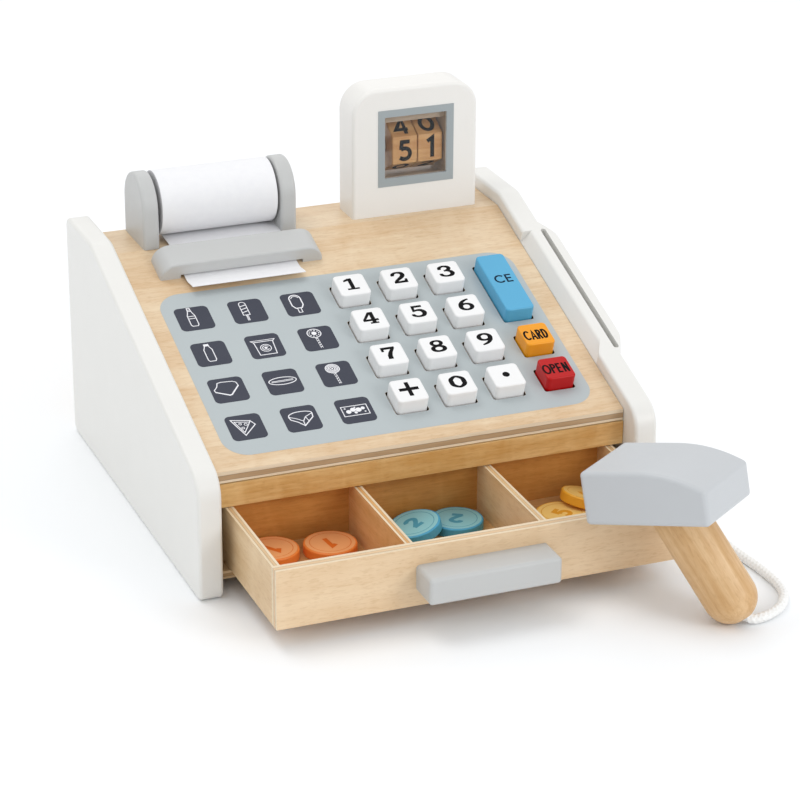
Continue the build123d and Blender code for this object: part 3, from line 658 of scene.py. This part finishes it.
def plain_sign(sign, width, squeeze=1.0):
    art = Art(squeeze)
    cut = width / 2
    top, foot = 1 - cut, cut
    if sign == "C":
        art.line(ellipse(0.50, 0.5, 0.44, 0.5 - cut, 42, 318), width)
    elif sign == "E":
        art.line([(0.62, top), (0.10, top), (0.10, foot), (0.62, foot)], width)
        art.line([(0.10, 0.52), (0.56, 0.52)], width)
    elif sign == "A":
        art.line([(0.02, 0), (0.38, top), (0.74, 0)], width).line([(0.15, 0.30), (0.61, 0.30)], width)
    elif sign in ("R", "P"):
        art.line([(0.10, 0), (0.10, top), (0.34, top)] + ellipse(0.34, 0.74, 0.25, 0.26 - cut, 90, -90, 14)
                 + [(0.34, 0.48 + cut), (0.10, 0.48 + cut)], width)
        if sign == "R":
            art.line([(0.34, 0.50), (0.64, 0)], width)
    elif sign == "D":
        art.line([(0.10, foot), (0.10, top), (0.28, top)] + ellipse(0.28, 0.5, 0.40, 0.5 - cut, 90, -90, 20)
                 + [(0.28, foot), (0.06, foot)], width)
    elif sign in ("O", "0"):
        wide = 0.44 if sign == "O" else 0.30
        art.line(ellipse(wide + 0.03, 0.5, wide, 0.5 - cut), width, closed=True)
    elif sign == "N":
        art.line([(0.10, 0), (0.10, 1)], width).line([(0.62, 0), (0.62, 1)], width)
        art.line([(0.10, 0.97), (0.62, 0.03)], width)
    elif sign == "1":
        art.line([(0.12, 0.80), (0.38, 0.97), (0.38, 0)], width)
    elif sign == "2":
        art.line([(0.06, 0.76), (0.10, 0.88), (0.30, 0.95), (0.52, 0.86), (0.55, 0.70), (0.42, 0.48),
                  (0.08, foot)], width, curved=True)
        art.line([(0.04, foot), (0.60, foot)], width)
    elif sign == "3":
        art.line([(0.06, 0.86), (0.26, 0.95), (0.48, 0.88), (0.52, 0.72), (0.40, 0.56), (0.20, 0.53)], width,
                 curved=True)
        art.line([(0.20, 0.53), (0.44, 0.48), (0.56, 0.28), (0.46, 0.09), (0.24, 0.05), (0.04, 0.14)], width,
                 curved=True)
    elif sign == "4":
        art.line([(0.48, 0), (0.48, 0.97), (0.04, 0.30), (0.64, 0.30)], width)
    elif sign == "5":
        art.line([(0.54, top), (0.14, top), (0.10, 0.52)], width)
        art.line([(0.10, 0.52), (0.28, 0.58), (0.48, 0.50), (0.56, 0.30), (0.46, 0.10), (0.24, 0.05),
                  (0.04, 0.13)], width, curved=True)
    return art


SIGN_WIDTH = {"C": 0.90, "E": 0.68, "A": 0.76, "R": 0.70, "P": 0.64, "D": 0.76, "O": 0.94, "N": 0.74,
              "0": 0.66, "1": 0.56, "2": 0.62, "3": 0.60, "4": 0.68, "5": 0.60}


def word(text, width, gap=0.10, squeeze=1.0):
    """Letters side by side, centred on zero, one unit high; squeeze narrows them but not their strokes."""
    whole = Art()
    left = -(squeeze * sum(SIGN_WIDTH[s] for s in text) + gap * (len(text) - 1)) / 2
    for letter in text:
        art = plain_sign(letter, width, squeeze)
        base = len(whole.verts)
        whole.verts += [(x + left, y - 0.5, z) for x, y, z in art.verts]
        whole.faces += [tuple(base + i for i in face) for face in art.faces]
        left += squeeze * SIGN_WIDTH[letter] + gap
    return whole


# ---------------------------------------------------------------- keys

KEY_COLUMNS = [108.06 + 25.63 * i for i in range(3)]
KEY_ROWS = [28.3 + 27.4 * j for j in range(4)]
labels = [["plus", "0", "dot"], ["7", "8", "9"], ["4", "5", "6"], ["1", "2", "3"]]
NUMERAL = 8.8
key_spots = []
for row, signs in zip(KEY_ROWS, labels):
    for column, sign in zip(KEY_COLUMNS, signs):
        key_spots.append((column, row, 16.2, 16.0))
        matrix = on_deck(column - 0.48 * NUMERAL, row - 0.5 * NUMERAL + 0.3, KEY_HEIGHT)
        slab_numeral(sign).place("numeral_" + sign, matrix, ink_black, "button_" + sign, NUMERAL)
TALL_KEY_U = 186.4
key_spots += [(TALL_KEY_U, KEY_ROWS[0], 15.4, 15.6), (TALL_KEY_U, KEY_ROWS[1] - 1.0, 15.4, 15.8),
              (TALL_KEY_U, (KEY_ROWS[2] + KEY_ROWS[3]) / 2, 15.4, 44.6)]
for text, ink, size, stroke, squeeze, u, v in (
    ("CE", ink_navy, 6.2, 0.16, 0.93, 186.6, 99.0),
    ("CARD", ink_black, 7.1, 0.155, 0.45, 185.7, 53.9),
    ("OPEN", ink_black, 7.0, 0.15, 0.53, 185.6, 27.6),
):
    letters = word(text, stroke, 0.10, squeeze)
    letters.place("label_" + text.lower(), on_deck(u, v, KEY_HEIGHT), ink, "button_" + text.lower(), size)

# ---------------------------------------------------------------- printed sheet and its pictures

sheet_art = Art()
holes = [rounded_box(u, v, wide + 1.2, long + 1.2, 1.3) for u, v, wide, long in key_spots]
sheet_art.area(rounded_box(106.0, 69.0, 191.0, 121.4, 12.5, 12), *holes)
sheet_art.place("printed_sheet", on_deck(0, 0), print_grey, "case", lift=0.05)


def mirrored(half, middle=0.0):
    """A closed outline from the points of its right half, top to bottom."""
    return [(middle + x, y) for x, y in half] + [(middle - x, y) for x, y in reversed(half)]


def striped_stick(art, top, foot, width=1.0):
    """A lolly's stick: two thin edges with slanting bands between them."""
    (x0, y0), (x1, y1) = top, foot
    for side in (-width / 2, width / 2):
        art.line([(x0 + side, y0), (x1 + side, y1)], 0.22)
    count = 5
    for i in range(count):
        t = (i + 0.5) / count
        x, y = x0 + (x1 - x0) * t, y0 + (y1 - y0) * t
        art.line([(x - width / 2, y - 0.3), (x + width / 2, y + 0.3)], 0.42)


def icon(kind):
    art = Art()
    pen = 0.46
    if kind == "banded_bottle":
        half = [(0.7, 8.2), (0.8, 6.3), (1.2, 4.4), (1.95, 2.4), (1.95, -4.6), (1.4, -5.6)]
        art.line(mirrored(half, -1.1), pen, closed=True)
        for y, wide in ((6.9, 0.7), (5.8, 0.9), (1.9, 1.95), (0.2, 1.95)):
            art.line([(-1.1 - wide, y), (-1.1 + wide, y)], pen)
    elif kind == "swirl_ice":
        body = [(0.4, -2.6)] + ellipse(-1.3, 5.6, 1.7, 1.7, 0, 180, 12) + [(-3.0, -2.6)]
        art.line(body, 0.42, closed=True)
        for y in (4.4, 2.1, -0.2):
            art.line([(-2.9, y - 0.4), (0.3, y + 0.6)], 0.5)
        striped_stick(art, (-1.3, -2.6), (-1.3, -7.0))
    elif kind == "ice_bar":
        crown = ellipse(-1.6, 4.4, 2.9, 2.9, 0, 180, 16)
        body = crown + [(-4.5, -0.6), (-3.2, -2.9), (0.0, -2.9), (1.3, -0.6)]
        art.line(body, 0.62, closed=True)
        art.line(ellipse(-1.5, 4.3, 2.0, 2.0, 15, 165, 10), pen)
        art.line([(-2.5, -2.9), (-2.5, -6.3), (-0.7, -6.3), (-0.7, -2.9)], pen)
    elif kind == "milk_bottle":
        half = [(1.1, 7.2), (1.15, 5.4), (2.1, 3.2), (2.1, -4.4), (1.5, -5.4)]
        art.line(mirrored(half, -0.7), pen, closed=True)
        art.line([(-1.8, 6.4), (0.4, 6.4)], 1.1)
    elif kind == "jam_jar":
        art.line([(-6.2, 4.6), (6.2, 4.6), (4.9, 3.3), (4.3, -6.2), (-4.3, -6.2), (-4.9, 3.3)], pen,
                 closed=True)
        art.line([(-5.4, 3.5), (5.4, 3.5)], pen)
        art.line(ellipse(0, -1.4, 2.7, 2.6), 0.42, closed=True)
        art.line(ellipse(0, -1.4, 1.7, 1.6, 30, 330, 20), 0.42)
        art.dot(0, -1.4, 0.8)
    elif kind in ("dotted_lolly", "plain_lolly"):
        art.line(ellipse(-0.8, 4.2, 3.5, 3.2), 0.5, closed=True)
        if kind == "dotted_lolly":
            art.dot(-0.8, 4.2, 1.3)
            for i in range(10):
                turn = 2 * math.pi * i / 10
                art.dot(-0.8 + 2.5 * math.cos(turn), 4.2 + 2.25 * math.sin(turn), 0.36)
        else:
            for radius in (2.75, 2.0, 1.25):
                art.line(ellipse(-0.8, 4.2, radius, radius * 0.92), 0.46, closed=True)
            art.dot(-0.8, 4.2, 0.5)
        striped_stick(art, (-0.7, 0.9), (-0.3, -7.2))
    elif kind == "toast":
        slice_edge = [(-4.0, 5.7), (-2.0, 6.1), (3.6, 5.7), (5.2, 4.8), (5.7, 2.2), (0.8, -3.7), (-0.4, -4.0),
                      (-6.6, -0.7), (-6.9, 0.9), (-5.0, 3.0)]
        art.line(slice_edge, 0.46, closed=True)
        art.line([(-6.7, -0.5), (-0.3, -3.8), (0.8, -3.5), (5.6, 2.2)], 0.7)
    elif kind == "roll_bread":
        art.line(ellipse(0.1, 0.8, 7.0, 2.6), 0.5, closed=True)
        art.line([(-5.6, 0.45), (0.0, 0.35), (5.6, 0.55)], 0.36).line([(-5.6, 1.0), (5.6, 1.25)], 0.36)
    elif kind == "cheese":
        art.line([(-6.1, 6.0), (3.2, 4.0), (4.9, 1.0), (-1.8, -5.6)], 0.5, closed=True)
        art.line([(-4.7, 4.5), (2.7, 3.0), (-1.7, -3.6)], 0.42, closed=True)
        art.line([(2.7, 3.0), (3.2, 4.0)], 0.4)
        for x, y, r in ((-2.2, 2.6, 0.65), (0.4, 1.9, 0.75), (-1.6, -0.4, 0.65)):
            art.line(ellipse(x, y, r, r, steps=14), 0.34, closed=True)
    elif kind == "cake":
        rim = [(-5.7, 2.0), (-4.9, 3.6), (-1.8, 4.8), (2.6, 4.9), (5.8, 4.0), (6.4, 2.9)]
        art.line(rim, 0.5, curved=True)
        art.line([(-5.7, 2.2), (-2.0, 0.2), (0.6, -1.9), (2.4, 0.9), (6.4, 3.0)], 0.42)
        art.line([(-5.7, 2.0), (-5.2, 0.0), (-2.2, -2.2), (0.4, -5.2), (6.0, 0.2), (6.4, 3.0)], 0.55)
        art.line([(0.6, -1.9), (0.4, -5.0)], 0.42).line([(2.4, 0.9), (3.2, -2.2)], 0.4)
    elif kind == "ticket":
        art.line([(-6.6, 3.4), (6.4, 3.4), (6.4, -3.4), (-6.6, -3.4)], 0.45, closed=True)
        for x, y, r in ((-3.6, -0.4, 1.3), (-1.1, 0.7, 1.4), (1.6, 0.2, 1.5), (4.0, 0.9, 1.0),
                        (-0.2, -1.5, 0.8)):
            art.dot(x, y, r)
        for x, y in ((-4.9, 2.0), (0.2, 2.2), (4.6, -1.6)):
            art.dot(x, y, 0.45)
    return art


rows = [["cheese", "cake", "ticket"], ["toast", "roll_bread", "plain_lolly"],
        ["milk_bottle", "jam_jar", "dotted_lolly"], ["banded_bottle", "swirl_ice", "ice_bar"]]
TILE, TILE_CORNER = 17.6, 2.7
FIRST_TILE, TILE_STEP = (25.4, 27.4), (27.79, 27.42)
for j, kinds in enumerate(rows):
    for i, kind in enumerate(kinds):
        u, v = FIRST_TILE[0] + TILE_STEP[0] * i, FIRST_TILE[1] + TILE_STEP[1] * j
        tile = Art().area(rounded_box(0, 0, TILE, TILE, TILE_CORNER))
        tile.place("tile_" + kind, on_deck(u, v), icon_slate, "case", lift=0.09)
        icon(kind).place("picture_" + kind, on_deck(u, v), ink_white, "case", lift=0.12)

# ---------------------------------------------------------------- number drums

DRUM_Y, DRUM_Z, DRUM_SIDE = 192.1, 147.0, 14.6
for side, x, front in (("left", 55.85, 5), ("right", 70.15, 1)):
    for k in range(6):
        tilt = Matrix.Rotation(math.radians(-60 * k), 4, "X")
        face = (
            Matrix.Translation(at(x, DRUM_Y, DRUM_Z)) @ tilt
            @ Matrix.Translation((0, -DRUM_SIDE * math.cos(math.pi / 6) * MM, 0))
            @ Matrix.Rotation(math.pi / 2, 4, "X") @ Matrix.Scale(MM, 4)
        )
        numeral = str((front - k) % 6)
        word(numeral, 0.20).place(f"drum_{side}_{k}", face, ink_black, "drum_" + side, 11.0, 0.02)

# ---------------------------------------------------------------- coins

COIN_RADIUS, COIN_THICK, DRAWER_FLOOR = 13.0, 5.0, 13.5
COIN_FACE_RADIUS, COIN_RING_RADIUS, COIN_NUMERAL = 12.0, 9.9, 9.5


def lean_height(angle):
    """Height of the middle of a coin whose lower rim rests on the drawer floor."""
    lean = math.radians(angle)
    return DRAWER_FLOOR + 0.1 + COIN_RADIUS * math.sin(lean) + COIN_THICK / 2 * math.cos(lean)


lie = DRAWER_FLOOR + COIN_THICK / 2
for name, x, y, z, turn, lean, spin, numeral in (
    ("orange_left", -79.4, 7.6, lie, 0, 0, 215, "1"),
    ("orange_right", -51.6, 3.6, lie, 0, 0, 186, "1"),
    ("blue_flat", 14.6, 6.4, lie, 0, 0, 150, "2"),
    ("blue_leaning", -8.6, 3.0, lean_height(13.2), 0, -13.2, 20, "2"),
    ("yellow_flat", 64.6, -6.2, lie, 0, 0, 40, "5"),
    ("yellow_leaning", 81.6, 2.0, lean_height(15.8), 20, 15.8, 75, "5"),
):
    body_paint, face_paint, ink = coin_colours[name.split("_")[0]]
    give(body_paint, "coin_" + name)
    top = (
        Matrix.Translation(at(x, y, z)) @ Matrix.Rotation(math.radians(turn), 4, "Z")
        @ Matrix.Rotation(math.radians(lean), 4, "Y") @ Matrix.Rotation(math.radians(spin), 4, "Z")
        @ Matrix.Translation((0, 0, COIN_THICK / 2 * MM)) @ Matrix.Scale(MM, 4)
    )
    face = Art().area(ellipse(0, 0, COIN_FACE_RADIUS, COIN_FACE_RADIUS, steps=64))
    face.place("coin_face_" + name, top, face_paint, "drawer", lift=0.03)
    rim = ellipse(0, 0, COIN_RING_RADIUS, COIN_RING_RADIUS, steps=64)
    ring = Art().line(rim, 0.32, closed=True)
    ring.place("coin_ring_" + name, top, ink, "drawer", lift=0.05)
    word(numeral, 0.25).place("coin_numeral_" + name, top, ink, "drawer", COIN_NUMERAL, 0.06)

# ---------------------------------------------------------------- rope

CORD_DIAMETER = 4.8
TABLE_CORD = 2.5
on_table = [
    (109.4, -112.6), (122.7, -111.2), (133.9, -104.0), (141.7, -90.8), (142.4, -70.2), (138.5, -40.0),
    (139.6, -4.0), (137.4, 34.0), (139.4, 74.0), (137.2, 112.0),
]
cord_points = [(105.2, -106.5, 11.3)] + [(x, y, TABLE_CORD) for x, y in on_table]
cord_points += [(138.0, 144.0, 3.6), (130.5, 172.0, 14.0), (104.0, 172.0, 14.0)]
route = bpy.data.curves.new("cord_route", "CURVE")
route.dimensions = "3D"
line = route.splines.new("NURBS")
line.points.add(len(cord_points) - 1)
for point, place in zip(line.points, cord_points):
    point.co = (*at(*place), 1.0)
line.order_u = 3
line.use_endpoint_u = True
line.resolution_u = 24
route_object = bpy.data.objects.new("cord_route", route)
bpy.context.scene.collection.objects.link(route_object)
bpy.context.view_layer.update()
traced = bpy.data.meshes.new_from_object(route_object)
path = [v.co.copy() for v in traced.vertices]
bpy.data.objects.remove(route_object)
bpy.data.meshes.remove(traced)

lengths = [0.0]
for a, b in zip(path, path[1:]):
    lengths.append(lengths[-1] + (b - a).length)
cord_length = lengths[-1]


def along_path(distance):
    """The place on the rope's middle line at a distance from its start."""
    distance = min(max(distance, 0.0), cord_length)
    for i in range(len(path) - 1):
        if distance <= lengths[i + 1] or i == len(path) - 2:
            span = lengths[i + 1] - lengths[i]
            return path[i].lerp(path[i + 1], (distance - lengths[i]) / span if span > 0 else 0.0)


STRANDS_EACH_WAY = 4
WEAVE_DEPTH = 0.14
WEAVE_PITCH = CORD_DIAMETER * MM * 2.3 / STRANDS_EACH_WAY


def braided_rope(name, ring_gap=0.00035, around=32):
    """A tube whose skin rises and falls like eight strands plaited over each other."""
    rings = int(cord_length / ring_gap)
    verts, faces = [], []
    side = Vector((0, 0, 1))
    for i in range(rings + 1):
        s = cord_length * i / rings
        spot = along_path(s)
        way = (along_path(s + 0.0006) - along_path(s - 0.0006)).normalized()
        side = (side - way * side.dot(way)).normalized()
        other = way.cross(side)
        for k in range(around):
            angle = 2 * math.pi * k / around
            lead = STRANDS_EACH_WAY * angle - 2 * math.pi * s / WEAVE_PITCH
            trail = STRANDS_EACH_WAY * angle + 2 * math.pi * s / WEAVE_PITCH
            weave = max(math.cos(lead), math.cos(trail))
            radius = CORD_DIAMETER / 2 * MM * (1 - WEAVE_DEPTH + WEAVE_DEPTH * weave)
            verts.append(spot + (side * math.cos(angle) + other * math.sin(angle)) * radius)
    for i in range(rings):
        for k in range(around):
            a, b = i * around + k, i * around + (k + 1) % around
            faces.append((a, b, b + around, a + around))
    faces.append(tuple(reversed(range(around))))
    faces.append(tuple(range(rings * around, (rings + 1) * around)))
    mesh = bpy.data.meshes.new(name)
    mesh.from_pydata(verts, [], faces)
    mesh.shade_smooth()
    made = bpy.data.objects.new(name, mesh)
    bpy.context.scene.collection.objects.link(made)
    return made


rope = braided_rope("rope")
cotton = Shade("white_cotton", 0.85, 0.0, 0.25)
cotton.shader.inputs["Sheen Weight"].default_value = 0.3
cotton.shader.inputs["Sheen Roughness"].default_value = 0.5
cotton.colour(cotton.mix(cotton.noise(420.0, 3.0), tone("F0F0EE"), tone("FCFCFB")))
cotton.bump(cotton.noise(2600.0, 3.0), 0.0001)
give(cotton.material, rope)
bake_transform(rope)
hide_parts("scanner_cord")

# ---------------------------------------------------------------- table top

floor_mesh = bpy.data.meshes.new("floor")
floor_mesh.from_pydata([(-6, -6, 0), (6, -6, 0), (6, 6, 0), (-6, 6, 0)], [], [(0, 1, 2, 3)])
floor = bpy.data.objects.new("floor", floor_mesh)
bpy.context.scene.collection.objects.link(floor)
floor_shade = Shade("floor_white", 0.9, 0.0, 0.1)
floor_shade.colour((0.955, 0.97, 0.985))
give(floor_shade.material, floor)
